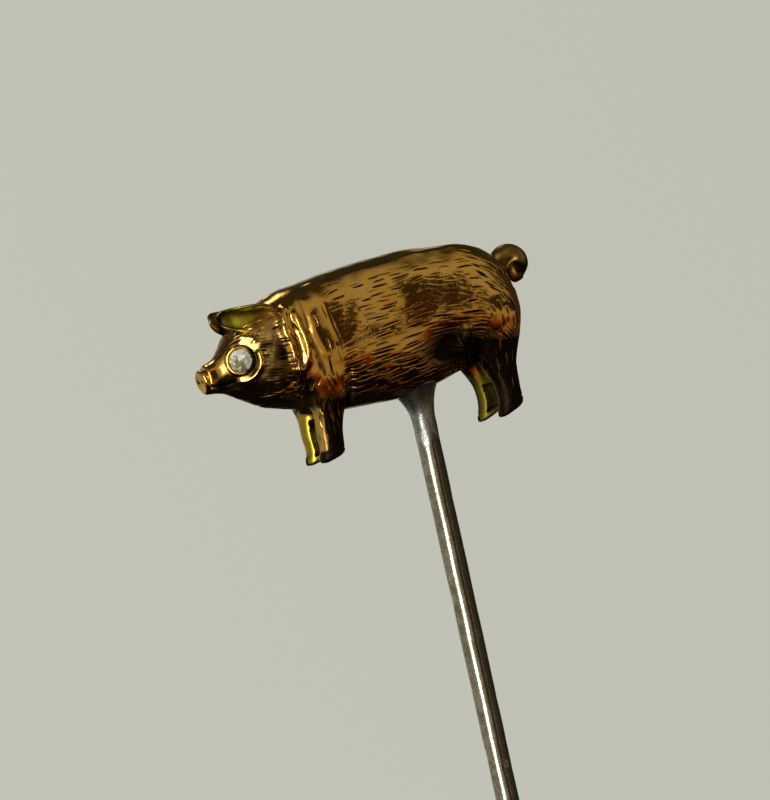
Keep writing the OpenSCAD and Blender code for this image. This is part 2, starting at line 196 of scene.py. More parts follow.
def aged_metal(name, bright, dull, stain, grain_mm, rough, pits_mm):
    """Bare or plated metal gone patchy: cleaner bright areas, duller ones, and dark specks where it has
    pitted."""
    made, tree, shader = new_material(name)
    place = add(tree, "ShaderNodeTexCoord").outputs["Object"]
    blotch = noise(tree, place, grain_mm, 5.0, 0.65)
    specks = noise(tree, place, grain_mm * 0.3, 4.0, 0.6)
    pitted = ramp(tree, specks, [(0.6, 0.0), (0.7, 1.0)])
    colour = mixed(tree, ramp(tree, blotch, [(0.38, 0.0), (0.62, 1.0)]), bright, dull)
    colour = mixed(tree, pitted, colour, stain)
    roughness = sums(tree, "ADD", ramp(tree, blotch, [(0.3, rough * 0.7), (0.7, rough * 1.3)]),
                     sums(tree, "MULTIPLY", pitted, 0.25))
    wire_up(tree, shader, colour, roughness, specks, 0.5, pits_mm)
    return made


def cut_paste():
    """Foiled lead glass paste: the tarnished foil broken up by the facets, with painted flashes of light and
    dark in random cells, under a clear and slightly rubbed glass surface."""
    made, tree, shader = new_material("paste_stone", 0.55)
    place = add(tree, "ShaderNodeTexCoord").outputs["Object"]
    cells = add(tree, "ShaderNodeTexVoronoi", {"Vector": place}, Scale=1 / (0.25 * MM))
    facet = add(tree, "ShaderNodeSeparateColor", {"Color": cells.outputs["Color"]}).outputs["Red"]
    scuffs = noise(tree, place, 0.2, 4.0, 0.7)
    # painted reflection: random cells from dark to near white stand in for the flashes of the facets over the
    # grey-green foil
    painted_facet_flashes = ramp(tree, facet, [(0.0, "7a7552"), (0.3, "b5b08c"), (0.65, "d3d3bf"), (1.0, "fcfcf2")])
    rough = ramp(tree, scuffs, [(0.4, 0.1), (0.8, 0.25)])
    wire_up(tree, shader, painted_facet_flashes, rough, cells.outputs["Distance"], 0.35, 0.04)
    shader.inputs["Coat Weight"].default_value = 1.0
    shader.inputs["Coat Roughness"].default_value = 0.03
    return made


ROSE_GILT = gilt("rose_gilt", "d69f42", "dcae60", "a6902c", "20140a")
YELLOW_GILT = gilt("yellow_gilt", "c8993c", "d6ae58", "877820", "181203")
SOFT_SOLDER = aged_metal("soft_solder", "b4b4a8", "7d7e72", "2a2922", 0.4, 0.36, 0.03)
STEM_WIRE = aged_metal("stem_wire", "b4ae9c", "857c66", "3b3222", 0.5, 0.2, 0.012)
WORN_NICKEL = aged_metal("worn_nickel", "cfcbc0", "b0a88f", "5d5238", 1.1, 0.18, 0.006)
BARE_STEEL = aged_metal("hard_steel", "a7abae", "868b8e", "4c4238", 0.8, 0.22, 0.006)
TARNISHED_FOIL = aged_metal("tarnished_foil", "b9bba6", "7c7e66", "2b2a1c", 0.3, 0.3, 0.01)
PASTE = cut_paste()


# ---- mesh helpers, all in millimetres

def link(obj):
    bpy.context.scene.collection.objects.link(obj)
    return obj


def mesh_mm(name, points, faces):
    """Mesh whose points are still in millimetres."""
    data = bpy.data.meshes.new(name)
    data.from_pydata([tuple(p) for p in points], [], [tuple(f) for f in faces])
    data.validate()
    return data


def skin(rings):
    """Points and faces of a closed solid through rings of the same number of points."""
    n, m = len(rings[0]), len(rings)
    faces = [[r * n + i, r * n + (i + 1) % n, (r + 1) * n + (i + 1) % n, (r + 1) * n + i]
             for r in range(m - 1) for i in range(n)]
    faces += [list(range(n - 1, -1, -1)), [(m - 1) * n + i for i in range(n)]]
    return [p for ring in rings for p in ring], faces


def outward(data):
    """Turns every face to look outwards."""
    work = bmesh.new()
    work.from_mesh(data)
    bmesh.ops.recalc_face_normals(work, faces=work.faces)
    work.to_mesh(data)
    work.free()
    return data


def joined(meshes, name):
    """One mesh from several, without welding."""
    work = bmesh.new()
    for data in meshes:
        work.from_mesh(data)
    made = bpy.data.meshes.new(name)
    work.to_mesh(made)
    work.free()
    return made


def with_modifier(data, kind, **settings):
    """The mesh after one modifier."""
    holder = link(bpy.data.objects.new("holder", data))
    modifier = holder.modifiers.new("m", kind)
    for key, value in settings.items():
        setattr(modifier, key, value)
    graph = bpy.context.evaluated_depsgraph_get()
    made = bpy.data.meshes.new_from_object(holder.evaluated_get(graph))
    bpy.data.objects.remove(holder)
    return made


def cut(data, tool, operation):
    """Boolean of two closed meshes."""
    holder = link(bpy.data.objects.new("tool", tool))
    made = with_modifier(data, "BOOLEAN", object=holder, operation=operation, solver="MANIFOLD")
    bpy.data.objects.remove(holder)
    return made


def points_of(data):
    flat = np.empty(len(data.vertices) * 3)
    data.vertices.foreach_get("co", flat)
    return flat.reshape(-1, 3)


def set_points(data, points):
    data.vertices.foreach_set("co", points.ravel())
    data.update()


def normals_of(data):
    flat = np.empty(len(data.vertices) * 3, dtype=np.float32)
    data.vertex_normals.foreach_get("vector", flat)
    return flat.reshape(-1, 3).astype(float)


def edges_of(data):
    flat = np.empty(len(data.edges) * 2, dtype=np.int64)
    data.edges.foreach_get("vertices", flat)
    return flat.reshape(-1, 2)


def relax(data, rounds, amount=0.5):
    """Smooths a mesh by moving each point towards its neighbours."""
    points, edges = points_of(data), edges_of(data)
    count = np.bincount(edges.ravel(), minlength=len(points))[:, None]
    for _ in range(rounds):
        total = np.zeros_like(points)
        for axis in range(3):
            total[:, axis] = (np.bincount(edges[:, 0], points[edges[:, 1], axis], len(points))
                              + np.bincount(edges[:, 1], points[edges[:, 0], axis], len(points)))
        points += amount * (total / np.maximum(count, 1) - points)
    set_points(data, points)


def mark(data, name, values):
    """Writes one value at each point, for a finish to read."""
    data.attributes.new(name, "FLOAT", "POINT").data.foreach_set("value", values.astype(np.float32))


def piece(name, data, material, body, *nodes, smooth=True):
    """Finished piece: millimetres to metres, a material, and the CAD nodes that it stands for."""
    data.transform(Matrix.Scale(MM, 4))
    obj = link(bpy.data.objects.new(name, data))
    if None in data.materials[:]:
        data.materials.clear()
    if not data.materials:
        data.materials.append(material)
    data.shade_smooth() if smooth else data.shade_flat()
    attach(obj, body)
    if nodes:
        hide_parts(*nodes)
    return obj


# ---- the pig's form

def smoothstep(low, high, value):
    t = np.clip((value - low) / (high - low), 0, 1)
    return t * t * (3 - 2 * t)


def within(value, low, high, soft):
    """1 between two values and 0 outside them, with soft ends."""
    return smoothstep(low - soft, low + soft, value) * (1 - smoothstep(high - soft, high + soft, value))


SHELL_LOW, SHELL_HIGH = box_mm("body_shell_left")
SNOUT_X, RUMP_X = SHELL_LOW[0], SHELL_HIGH[0]
SOLE_Z, BACK_Z = SHELL_LOW[2], SHELL_HIGH[2]
HALF_WIDTH = -SHELL_LOW[1]
HEIGHT, LENGTH = BACK_Z - SOLE_Z, RUMP_X - SNOUT_X
GRAIN = 0.033
CUT_DEPTH = 0.042

# Sections from the snout to the rump: place along the length, top, bottom and half width
SECTIONS = np.array([
    (0.0, 0.63, 0.47, 0.265), (0.025, 0.639, 0.472, 0.26), (0.052, 0.671, 0.461, 0.333),
    (0.08, 0.726, 0.433, 0.45), (0.103, 0.774, 0.41, 0.55), (0.144, 0.823, 0.366, 0.675),
    (0.185, 0.86, 0.338, 0.76), (0.226, 0.896, 0.32, 0.81), (0.28, 0.929, 0.295, 0.865),
    (0.334, 0.939, 0.27, 0.905), (0.409, 0.963, 0.25, 0.93), (0.511, 0.983, 0.244, 0.95),
    (0.613, 0.991, 0.246, 0.965), (0.688, 1.0, 0.268, 0.97), (0.776, 0.983, 0.311, 0.96),
    (0.837, 0.976, 0.335, 0.93), (0.9, 0.933, 0.378, 0.857), (0.946, 0.884, 0.427, 0.717),
    (0.976, 0.817, 0.488, 0.5), (0.993, 0.744, 0.549, 0.29), (1.0, 0.683, 0.61, 0.1)])

# Legs of one side: place along X, height, half size along X, distance from the middle, half size
# across, and slope of the ring towards the rump
FRONT_LEG = [
    (-4.75, 3.4, 1.35, 1.15, 0.95, 0), (-4.6, 2.4, 1.02, 1.1, 0.92, 0), (-4.6, 1.5, 0.76, 0.98, 0.76, 0),
    (-4.66, 0.9, 0.63, 0.88, 0.6, 0), (-4.75, 0.3, 0.58, 0.8, 0.52, 0), (-4.76, -0.3, 0.53, 0.76, 0.47, 0),
    (-4.78, -0.45, 0.54, 0.75, 0.47, 0.1), (-4.8, -0.58, 0.6, 0.76, 0.52, 0.2),
    (-4.84, -0.8, 0.6, 0.77, 0.53, 0.27), (-4.84, -0.88, 0.5, 0.77, 0.43, 0.28)]
HIND_LEG = [
    (3.2, 4.6, 1.7, 1.0, 1.2, 0), (3.35, 3.6, 1.55, 1.1, 1.14, 0), (3.45, 2.6, 1.2, 1.1, 0.85, 0),
    (3.5, 1.6, 0.8, 1.08, 0.56, 0), (3.66, 0.8, 0.58, 1.06, 0.49, 0), (3.69, 0.2, 0.53, 1.05, 0.48, 0.1),
    (3.66, -0.1, 0.56, 1.05, 0.49, 0.25), (3.62, -0.28, 0.62, 1.05, 0.52, 0.4),
    (3.6, -0.47, 0.62, 1.05, 0.52, 0.42), (3.6, -0.55, 0.52, 1.05, 0.43, 0.42)]

# Lines along the flank, as (x, z)
NECK_FOLD = [(-5.7, 5.95), (-6.1, 5.3), (-6.22, 4.75), (-6.14, 4.3), (-6.08, 3.7), (-6.02, 3.2), (-6.08, 2.8)]
NECK_FOLD_BACK = [(-5.6, 5.7), (-5.58, 4.93), (-5.5, 4.39), (-5.48, 3.87), (-5.67, 3.3), (-6.0, 2.85)]
COLLAR_FRONT = [(-5.2, 6.2), (-5.17, 5.6), (-5.2, 4.9), (-5.22, 4.3), (-5.04, 3.7), (-4.9, 3.05), (-4.86, 2.5)]
COLLAR = [(-4.72, 6.35), (-4.8, 5.7), (-4.85, 4.8), (-4.7, 3.8), (-4.55, 2.85), (-4.3, 2.05)]
COLLAR_BACK = [(-4.15, 5.8), (-4.2, 5.2), (-4.17, 4.6), (-4.06, 4.0), (-3.97, 3.1), (-3.85, 2.5)]
JAW = [(-8.6, 3.1), (-8.0, 2.68), (-7.3, 2.5), (-6.6, 2.52), (-6.05, 2.75)]
MOUTH = [(-9.6, 3.2), (-9.2, 3.12), (-8.8, 3.1), (-8.5, 3.2)]
CHEEK_RIM = [(-7.55, 4.35), (-7.45, 4.0), (-7.52, 3.6), (-7.75, 3.3), (-8.1, 3.14), (-8.5, 3.22)]
BROW = [(-8.6, 4.85), (-8.3, 5.0), (-7.95, 5.02), (-7.6, 4.85), (-7.4, 4.55)]
THIGH_FRONT = [(0.2, 1.85), (0.8, 2.05), (1.37, 2.25), (1.8, 2.6), (2.0, 3.1), (1.95, 3.6)]
SHIN = [(-5.1, 1.9), (-5.22, 1.2), (-5.25, 0.4), (-5.25, -0.2), (-5.3, -0.7)]
ELBOW = [(-3.85, 2.8), (-3.7, 2.3), (-3.68, 1.8), (-3.8, 1.4), (-3.95, 1.1)]
SPINE_EDGE = [(-5.3, 0.8), (-4.3, 1.0), (-3.5, 1.35), (-2.4, 1.25), (-1.2, 1.3), (0.1, 1.15), (1.4, 1.05),
              (2.4, 1.0), (3.3, 0.95), (4.1, 0.85), (4.7, 0.7)]


def catmull(rows, steps):
    """Rows with smooth values worked in between."""
    rows = np.array(rows, float)
    padded = np.vstack([rows[:1], rows, rows[-1:]])
    out = []
    for i in range(len(rows) - 1):
        a, b, c, d = padded[i:i + 4]
        for u in np.arange(steps) / steps:
            out.append(b + u * (c - a) / 2 + u * u * (a - 2.5 * b + 2 * c - d / 2)
                       + u ** 3 * (3 * (b - c) + d - a) / 2)
    return np.array(out + [rows[-1]])


SMOOTH = catmull(SECTIONS, 4)


def body_form():
    """Barrel of the pig from the end of the snout to the rump."""
    rings = []
    for s, top, bottom, width in SMOOTH:
        angle = np.arange(48) * 2 * math.pi / 48
        middle, half = SOLE_Z + (top + bottom) / 2 * HEIGHT, (top - bottom) / 2 * HEIGHT
        side = np.sign(np.sin(angle)) * np.abs(np.sin(angle)) ** 0.9
        rings.append(np.column_stack([np.full(48, SNOUT_X + s * LENGTH), HALF_WIDTH * width * side,
                                      middle + half * np.cos(angle)]))
    return outward(mesh_mm("body_form", *skin(rings)))


def limb_form(rows, side, inset=0.0, reach=0.0):
    """One leg. With an inset it is the leg's hollow, drawn out by reach towards the other legs."""
    rings = []
    for x, z, hx, y, hy, slope in catmull(rows, 4):
        angle = np.arange(32) * 2 * math.pi / 32
        dx = (hx - inset) * np.sign(np.cos(angle)) * np.abs(np.cos(angle)) ** 0.85
        outer, inner = y + hy - inset, y - hy - reach
        dy = (outer + inner) / 2 + (outer - inner) / 2 * np.sign(np.sin(angle)) * np.abs(np.sin(angle)) ** 0.85
        rings.append(np.column_stack([x + dx, side * dy, z + slope * dx]))
    return outward(mesh_mm("limb_form", *skin(rings)))


def pig_form():
    """Both halves in one, at an even fine grain, ready for modelling and chasing."""
    parts = [body_form()]
    for side in (-1, 1):
        parts += [limb_form(FRONT_LEG, side), limb_form(HIND_LEG, side)]
    rough = with_modifier(joined(parts, "rough"), "REMESH", mode="VOXEL", voxel_size=0.08)
    relax(rough, 12)
    for side in (-1, 1):
        for rows, lowest, highest in ((FRONT_LEG, -0.6, 1.15), (HIND_LEG, -0.4, 1.4)):
            kept = [r for r in rows if lowest <= r[1] <= highest]
            rough = cut(rough, limb_form(kept, side, 0.24, 0.7), "DIFFERENCE")
    fine = with_modifier(rough, "REMESH", mode="VOXEL", voxel_size=GRAIN)
    relax(fine, 3)
    return fine


def nearness(places, line, width):
    """How near each place is to a smooth line, 1 on it and 0 well off it, fading at the line's ends."""
    line = catmull(line, 4)
    lengths = np.linalg.norm(np.diff(line, axis=0), axis=1)
    nearest, share, run = np.full(len(places), 1e9), np.zeros(len(places)), 0.0
    for a, b, length in zip(line[:-1], line[1:], lengths):
        t = np.clip((places - a) @ (b - a) / length ** 2, 0, 1)
        away = np.linalg.norm(places - a - t[:, None] * (b - a), axis=1)
        closer = away < nearest
        nearest[closer], share[closer] = away[closer], (run + t[closer] * length) / lengths.sum()
        run += length
    return np.exp(-(nearest / width) ** 2) * smoothstep(0, 0.12, share) * (1 - smoothstep(0.88, 1, share))


def mound(x, z, centre, size):
    return np.exp(-((x - centre[0]) / size[0]) ** 2 - ((z - centre[1]) / size[1]) ** 2)


def shuffled(*keys):
    """Fixed random values from 0 to 1 for whole-number keys."""
    mix = np.zeros_like(np.asarray(keys[0], dtype=np.int64))
    for i, key in enumerate(keys):
        mix = (mix ^ (np.asarray(key, dtype=np.int64) * (73856093 + 19349662 * i))) * 2654435761 % 4294967296
        mix ^= mix >> 15
    return (mix * 2246822519 % 4294967296) / 4294967296


def hairs(across, along, pitch, dash, width, seed, kept):
    """Depth, from 0 to 1, of graver cuts in rows: each cut tapers, and no two are alike."""
    depth = np.zeros(len(across))
    row = np.floor(across / pitch)
    for step in (-1, 0, 1):
        line = row + step
        place = along / dash + shuffled(line, seed)
        cell = np.floor(place)
        u = place - cell
        drift, chance, size, force, tilt = (shuffled(line, cell, seed + k) for k in range(1, 6))
        middle = (line + 0.5 + 0.7 * (drift - 0.5)) * pitch + (tilt - 0.5) * 0.14 * dash * (u - 0.5)
        taper = np.sqrt(np.clip(1 - ((u - 0.5) / (0.25 + 0.23 * size)) ** 2, 0, 1))
        cut_width = np.maximum(width * (0.6 + 0.8 * force) * taper, 1e-4)
        cut_in = np.clip(1 - (np.abs(across - middle) / cut_width) ** 2, 0, 1) * taper
        depth = np.maximum(depth, np.where(chance < kept, cut_in * (0.55 + 0.45 * force), 0))
    return depth


def waves(points, size, seed):
    """Slow unevenness of hand work, from -1 to 1."""
    rng = np.random.default_rng(seed)
    total = np.zeros(len(points))
    for _ in range(7):
        way = rng.normal(size=3)
        total += np.sin(points @ (way / np.linalg.norm(way)) * 2 * math.pi / (size * rng.uniform(0.6, 1.6))
                        + rng.uniform(0, 6.28))
    return total / 7


def model(data):
    """The big forms: shoulder, haunch, folds of the neck, cheek, brow, and the welt over the spine."""
    points, normals = points_of(data), normals_of(data)
    x, y, z = points[:, 0], np.abs(points[:, 1]), points[:, 2]
    flank = np.column_stack([x, z])
    outer = smoothstep(0.35, 0.9, y) * (normals[:, 1] * np.sign(points[:, 1]) > -0.2)
    top = smoothstep(0.1, 0.5, normals[:, 2])
    above = np.column_stack([x, y])
    raised = outer * (
        0.13 * mound(x, z, (-3.3, 4.2), (1.9, 2.4)) + 0.2 * mound(x, z, (2.9, 5.0), (1.5, 1.9))
        - 0.1 * mound(x, z, (-0.9, 4.2), (1.2, 2.2)) - 0.34 * mound(x, z, (1.0, 2.8), (1.0, 0.8))
        + 0.14 * mound(x, z, (-6.8, 3.7), (0.7, 0.9))
        + 0.22 * nearness(flank, NECK_FOLD, 0.2) + 0.19 * nearness(flank, NECK_FOLD_BACK, 0.16)
        - 0.05 * nearness(flank, COLLAR_FRONT, 0.16) + 0.05 * nearness(flank, COLLAR, 0.42)
        - 0.03 * nearness(flank, COLLAR_BACK, 0.14)
        - 0.06 * nearness(flank, JAW, 0.14) + 0.12 * nearness(flank, CHEEK_RIM, 0.12)
        + 0.06 * nearness(flank, BROW, 0.14) + 0.1 * nearness(flank, THIGH_FRONT, 0.3)
        - 0.12 * nearness(flank, ELBOW, 0.16))
    raised -= 0.06 * nearness(flank, MOUTH, 0.07) * smoothstep(0.15, 0.3, y)
    raised += top * (0.045 * nearness(above, SPINE_EDGE, 0.2)
                     - 0.07 * np.exp(-(y / 0.1) ** 2) * within(x, -6.2, 4.2, 0.4))
    raised += 0.035 * waves(points, 2.6, 3) * smoothstep(-8.2, -6.5, x) + 0.017 * waves(points, 0.8, 4)
    raised += 0.022 * waves(points, 0.5, 9) * within(x, -8.9, -5.4, 0.4) * within(z, 2.0, 6.0, 0.4)
    set_points(data, points + normals * raised[:, None])


def chase(data):
    """Cuts the hair, and marks how deep each place is cut, with soiling and painted shade in the same mark, and which
    places lie inside the legs.
    """
    points, normals = points_of(data), normals_of(data)
    side = np.where(points[:, 1] < 0, 0, 50)
    x, y, z = points[:, 0], np.abs(points[:, 1]), points[:, 2]
    share = (x - SNOUT_X) / LENGTH
    top, bottom, wide = (np.interp(share, SMOOTH[:, 0], SMOOTH[:, k]) for k in (1, 2, 3))
    middle, half = SOLE_Z + (top + bottom) / 2 * HEIGHT, (top - bottom) / 2 * HEIGHT
    angle = np.arctan2(y / (HALF_WIDTH * wide), (z - middle) / np.maximum(half, 0.1))
    arc = angle * (half + HALF_WIDTH * wide) / 2
    outward_y = normals[:, 1] * np.sign(points[:, 1])
    outer = smoothstep(-0.35, 0.0, outward_y)
    flat_top = smoothstep(0.62, 0.8, normals[:, 2])
    leg = 1 - smoothstep(0.8, 1.6, z)
    wander = 0.03 * waves(points, 1.8, 8)

    def cuts(mask, *spec):
        return mask * hairs(*spec)

    barrel = within(x, -3.9, 4.2, 0.25) * outer * (1 - flat_top) * smoothstep(1.0, 1.5, z)
    shoulder_disc = mound(x, z, (-3.45, 4.25), (0.95, 1.3)) > 0.45
    haunch_disc = mound(x, z, (1.3, 5.1), (1.3, 1.1)) > 0.45
    plain = 1 - 0.6 * (shoulder_disc | haunch_disc)
    flank_rows = (arc + wander, x)
    deep = cuts(barrel * plain * within(z, 1.2, 4.7, 0.3) * (1 - smoothstep(2.4, 3.2, x)), *flank_rows,
                0.15, 1.5, 0.036, 11 + side, 0.95)
    deep = np.maximum(deep, cuts(barrel * plain * within(z, 4.5, 6.4, 0.2), *flank_rows,
                                 0.17, 1.0, 0.034, 21 + side, 0.8))
    deep = np.maximum(deep, cuts(barrel * smoothstep(3.2, 2.4, z), *flank_rows,
                                 0.16, 1.3, 0.045, 31 + side, 0.85))
    deep = np.maximum(deep, 0.3 * cuts(barrel * (shoulder_disc | haunch_disc),
                                       arc + 0.05 * np.sin(x * 5), x, 0.13, 0.6, 0.045, 41 + side, 0.8))
    # round the rump the cuts follow its outline, and below it they run down the thigh
    round_x, round_z = x - 1.6, z - 3.4
    reach, turn = np.hypot(round_x, round_z), np.arctan2(round_x, round_z)
    rump = (smoothstep(2.5, 3.2, x) * smoothstep(2.6, 3.3, z) * outer
            * (1 - smoothstep(0.85, 0.95, normals[:, 2])))
    deep = np.maximum(deep, cuts(rump, reach + wander, turn * 2.6, 0.27, 0.75, 0.06, 61 + side, 0.45))
    thigh = within(x, 1.3, 4.9, 0.3) * within(z, 0.2, 3.3, 0.3) * outer
    fan = (x - 3.6) / (0.42 + 0.2 * np.maximum(z, 0))
    deep = np.maximum(deep, cuts(thigh, fan + wander, z, 0.2, 0.85, 0.05, 71 + side, 0.65))
    foreleg = within(x, -5.7, -3.9, 0.2) * within(z, 0.1, 2.6, 0.3) * outer
    deep = np.maximum(deep, cuts(foreleg, x + 0.12 * z + wander, z, 0.18, 0.8, 0.048, 81 + side, 0.65))
    collar = within(x, -4.9, -3.9, 0.12) * within(z, 2.3, 5.6, 0.3) * outer
    deep = np.maximum(deep, cuts(collar, x + 0.12 * z + wander, z, 0.3, 1.0, 0.05, 91 + side, 0.3))
    cheek = within(x, -7.4, -6.15, 0.1) * within(z, 2.4, 4.7, 0.2) * outer
    deep = np.maximum(deep, cuts(cheek, z + 0.15 * (x + 7) + 0.3 * wander, x, 0.13, 0.8, 0.04, 101 + side, 0.95))
    temple = within(x, -8.5, -6.2, 0.2) * within(z, 4.6, 5.7, 0.2) * outer
    deep = np.maximum(deep, cuts(temple, z - 0.3 * (x + 7) + 0.5 * wander, x, 0.16, 0.5, 0.036, 151 + side, 0.7))
    neck = within(x, -6.3, -5.2, 0.1) * within(z, 2.2, 5.6, 0.2) * outer
    deep = np.maximum(deep, 0.8 * cuts(neck, x + 0.25 * np.sin(z * 1.4), z, 0.18, 0.7, 0.045, 111 + side, 0.5))
    jowl = within(x, -8.2, -5.9, 0.2) * smoothstep(2.9, 2.4, z) * smoothstep(1.4, 1.7, z)
    deep = np.maximum(deep, cuts(jowl, z + wander, x, 0.17, 0.9, 0.048, 121 + side, 0.7))
    # cloven fronts of the hooves, and the line above each hoof
    for centre, slope, line_z, low in ((-4.8, 0.05, -0.5, -1.0), (3.7, 0.42, -0.16, -0.6)):
        near = within(x, centre - 1, centre + 1, 0.1) * (z < 0.6)
        height = z - slope * (x - centre)
        deep = np.maximum(deep, 0.8 * near * np.exp(-((height - line_z) / 0.04) ** 2) * outer)
        out_y = 0.77 if centre < 0 else 1.06
        split = np.exp(-((y - out_y) / 0.05) ** 2) * smoothstep(line_z, line_z - 0.12, height)
        deep = np.maximum(deep, 1.4 * near * split * smoothstep(centre - 0.25, centre - 0.4, x))
    # patchy soiling and old polish together with painted shade: darker towards the bottom and round the legs, in the
    # folds at the collar and elbow, in the hollow below the haunch, over the head and cheek, and under the snout
    patchy = 0.5 + 0.5 * waves(points, 0.9, 17)
    flank = np.column_stack([x, z])
    folds = nearness(flank, COLLAR_FRONT, 0.16) + nearness(flank, ELBOW, 0.2)
    grime_and_shade = (smoothstep(2.3, 1.2, z - 0.9 * (x > 1.5)) * (0.5 + 0.45 * patchy) * (1 - within(x, -3.6, 2.0, 0.3))
             + 0.4 * folds * (0.4 + 0.6 * patchy)
             + 1.1 * mound(x, z, (1.2, 2.65), (1.5, 0.8)) * (0.55 + 0.45 * patchy)
             + 0.45 * within(x, -9.0, -5.9, 0.3) * within(z, 2.8, 5.9, 0.3) * (0.25 + 0.75 * patchy)
             + 0.28 * within(x, -7.4, -6.1, 0.2) * within(z, 3.0, 4.6, 0.3)
             + 0.9 * mound(x, z, (-8.9, 3.2), (0.5, 0.3)))
    # except on the high strokes between the cuts and on the ridges of the cheek, neck folds and shin, where the
    # painted shade is left off
    rubbed = np.maximum(cuts(thigh, fan + wander, z, 0.19, 0.9, 0.04, 131 + side, 0.6),
                        cuts(foreleg, x + 0.12 * z + wander, z, 0.15, 1.0, 0.036, 141 + side, 0.75))
    high = (nearness(flank, CHEEK_RIM, 0.16) + nearness(flank, NECK_FOLD, 0.2)
            + nearness(flank, NECK_FOLD_BACK, 0.16) + nearness(flank, SHIN, 0.12))
    grime_and_shade *= 1 - 0.85 * np.maximum(rubbed, np.minimum(high, 1))
    inner = leg * smoothstep(0.15, -0.25, outward_y) * smoothstep(-1.0, -0.85, z + 0.6 * (x > 0))
    set_points(data, points - normals * (CUT_DEPTH * deep)[:, None])
    # painted shade in the hollows of the hind legs
    soil_and_shade = np.maximum(grime_and_shade * outer, 0.38 * inner * (x > 0))
    mark(data, "tarnish_and_shade", np.maximum(deep, soil_and_shade))
    mark(data, "inside", inner)


def half_of(data, side):
    """One struck half of the pig, closed along the median plane."""
    work = bmesh.new()
    work.from_mesh(data)
    done = bmesh.ops.bisect_plane(work, geom=work.verts[:] + work.edges[:] + work.faces[:], dist=1e-6,
                                  plane_co=(0, side * 0.01, 0), plane_no=(0, -side, 0), clear_outer=True)
    rim = [e for e in done["geom_cut"] if isinstance(e, bmesh.types.BMEdge)]
    bmesh.ops.holes_fill(work, edges=rim)
    made = bpy.data.meshes.new("half")
    work.to_mesh(made)
    work.free()
    return made


pig = pig_form()
model(pig)
chase(pig)
for side, hand in ((-1, "left"), (1, "right")):
    piece("shell_" + hand, half_of(pig, side), ROSE_GILT, "pin", "body_shell_" + hand)


# ---- ears, eyes, snout and tail

# Middle of the ear from its root to its tip, with the half height and half depth of the cup there
EAR = catmull([
    (-6.2, 1.42, 5.4, 0.16, 0.1), (-6.3, 1.42, 5.42, 0.54, 0.28), (-6.62, 1.38, 5.48, 0.7, 0.42),
    (-7.1, 1.26, 5.56, 0.68, 0.42), (-7.6, 1.04, 5.66, 0.6, 0.38), (-8.0, 0.8, 5.75, 0.52, 0.32),
    (-8.35, 0.58, 5.84, 0.4, 0.24), (-8.56, 0.44, 5.9, 0.22, 0.12)], 5)
EAR_SHEET = 0.13


def ear(side):
    """Cupped leaf, open outwards, with a rounded rim that rolls over at the root."""
    rings = []
    swing = np.radians(np.linspace(-112, 112, 23))
    for i, (x, y, z, high, deep) in enumerate(EAR):
        inner_high, inner_deep = max(high - EAR_SHEET, 0.012), max(deep - EAR_SHEET, 0.01)
        closed = smoothstep(0, 5, i) * smoothstep(len(EAR) - 1, len(EAR) - 5, i)
        outer = [(z + high * math.sin(a), y - deep * math.cos(a)) for a in swing]
        inner = [(z + inner_high * math.sin(a) * closed, y - inner_deep * math.cos(a) * closed
                  + (1 - closed) * 0.3 * deep) for a in swing[::-1]]
        rings.append([(x - 0.1 * (pz - z), side * py, pz) for pz, py in outer + inner])
    rough = outward(mesh_mm("ear", *skin(rings)))
    made = with_modifier(rough, "REMESH", mode="VOXEL", voxel_size=0.028)
    relax(made, 6)
    points = points_of(made)
    hollow = (normals_of(made)[:, 1] * side > 0.1) * within(points[:, 0], -8.3, -6.5, 0.15)
    # patchy soiling, with painted shade towards the tip and deep in the hollow at the root
    dirt_and_shade = (0.38 * smoothstep(-0.5, 0.6, waves(points, 0.7, 31)) * (1 - 0.6 * hollow)
            + 0.34 * smoothstep(-7.7, -8.1, points[:, 0]) + 0.25 * hollow * smoothstep(-6.9, -6.5, points[:, 0]))
    mark(made, "tarnish_and_shade", dirt_and_shade)
    mark(made, "inside", hollow)
    return made


def turned(profile, segments, shape=None):
    """Points and faces of a solid turned about Z from a closed profile of (radius, height). The shape,
    if given, is a function of angle, radius and height that returns the radius to use."""
    rings = []
    for i in range(segments):
        a = 2 * math.pi * i / segments
        ring = []
        for r, z in profile:
            reach = shape(a, r, z) if shape else r
            ring.append((reach * math.cos(a), reach * math.sin(a), z))
        rings.append(ring)
    n = len(profile)
    faces = [[i * n + k, (i + 1) % segments * n + k, (i + 1) % segments * n + (k + 1) % n,
              i * n + (k + 1) % n] for i in range(segments) for k in range(n)]
    return [p for ring in rings for p in ring], faces


def welded(name, points, faces):
    """Mesh with its doubled points on the axis merged, loose edges gone and faces turned outwards."""
    work = bmesh.new()
    work.from_mesh(mesh_mm(name, points, faces))
    bmesh.ops.remove_doubles(work, verts=work.verts, dist=1e-5)
    bmesh.ops.dissolve_degenerate(work, dist=1e-5, edges=work.edges)
    bmesh.ops.delete(work, geom=[e for e in work.edges if not e.link_faces], context="EDGES")
    bmesh.ops.recalc_face_normals(work, faces=work.faces)
    made = bpy.data.meshes.new(name)
    work.to_mesh(made)
    work.free()
    return made


def rounded(profile, corner, steps=3):
    """Closed profile with its corners rounded."""
    profile = [np.array(p, float) for p in profile]
    out = []
    for i, p in enumerate(profile):
        before, after = profile[i - 1] - p, profile[(i + 1) % len(profile)] - p
        size = min(corner, np.linalg.norm(before) * 0.45, np.linalg.norm(after) * 0.45)
        if p[0] < 1e-6 or size < 1e-4:
            out.append(tuple(p))
            continue
        a = p + before / np.linalg.norm(before) * size
        b = p + after / np.linalg.norm(after) * size
        for t in np.linspace(0, 1, steps + 1):
            out.append(tuple((1 - t) ** 2 * a + 2 * t * (1 - t) * p + t * t * b))
    return out


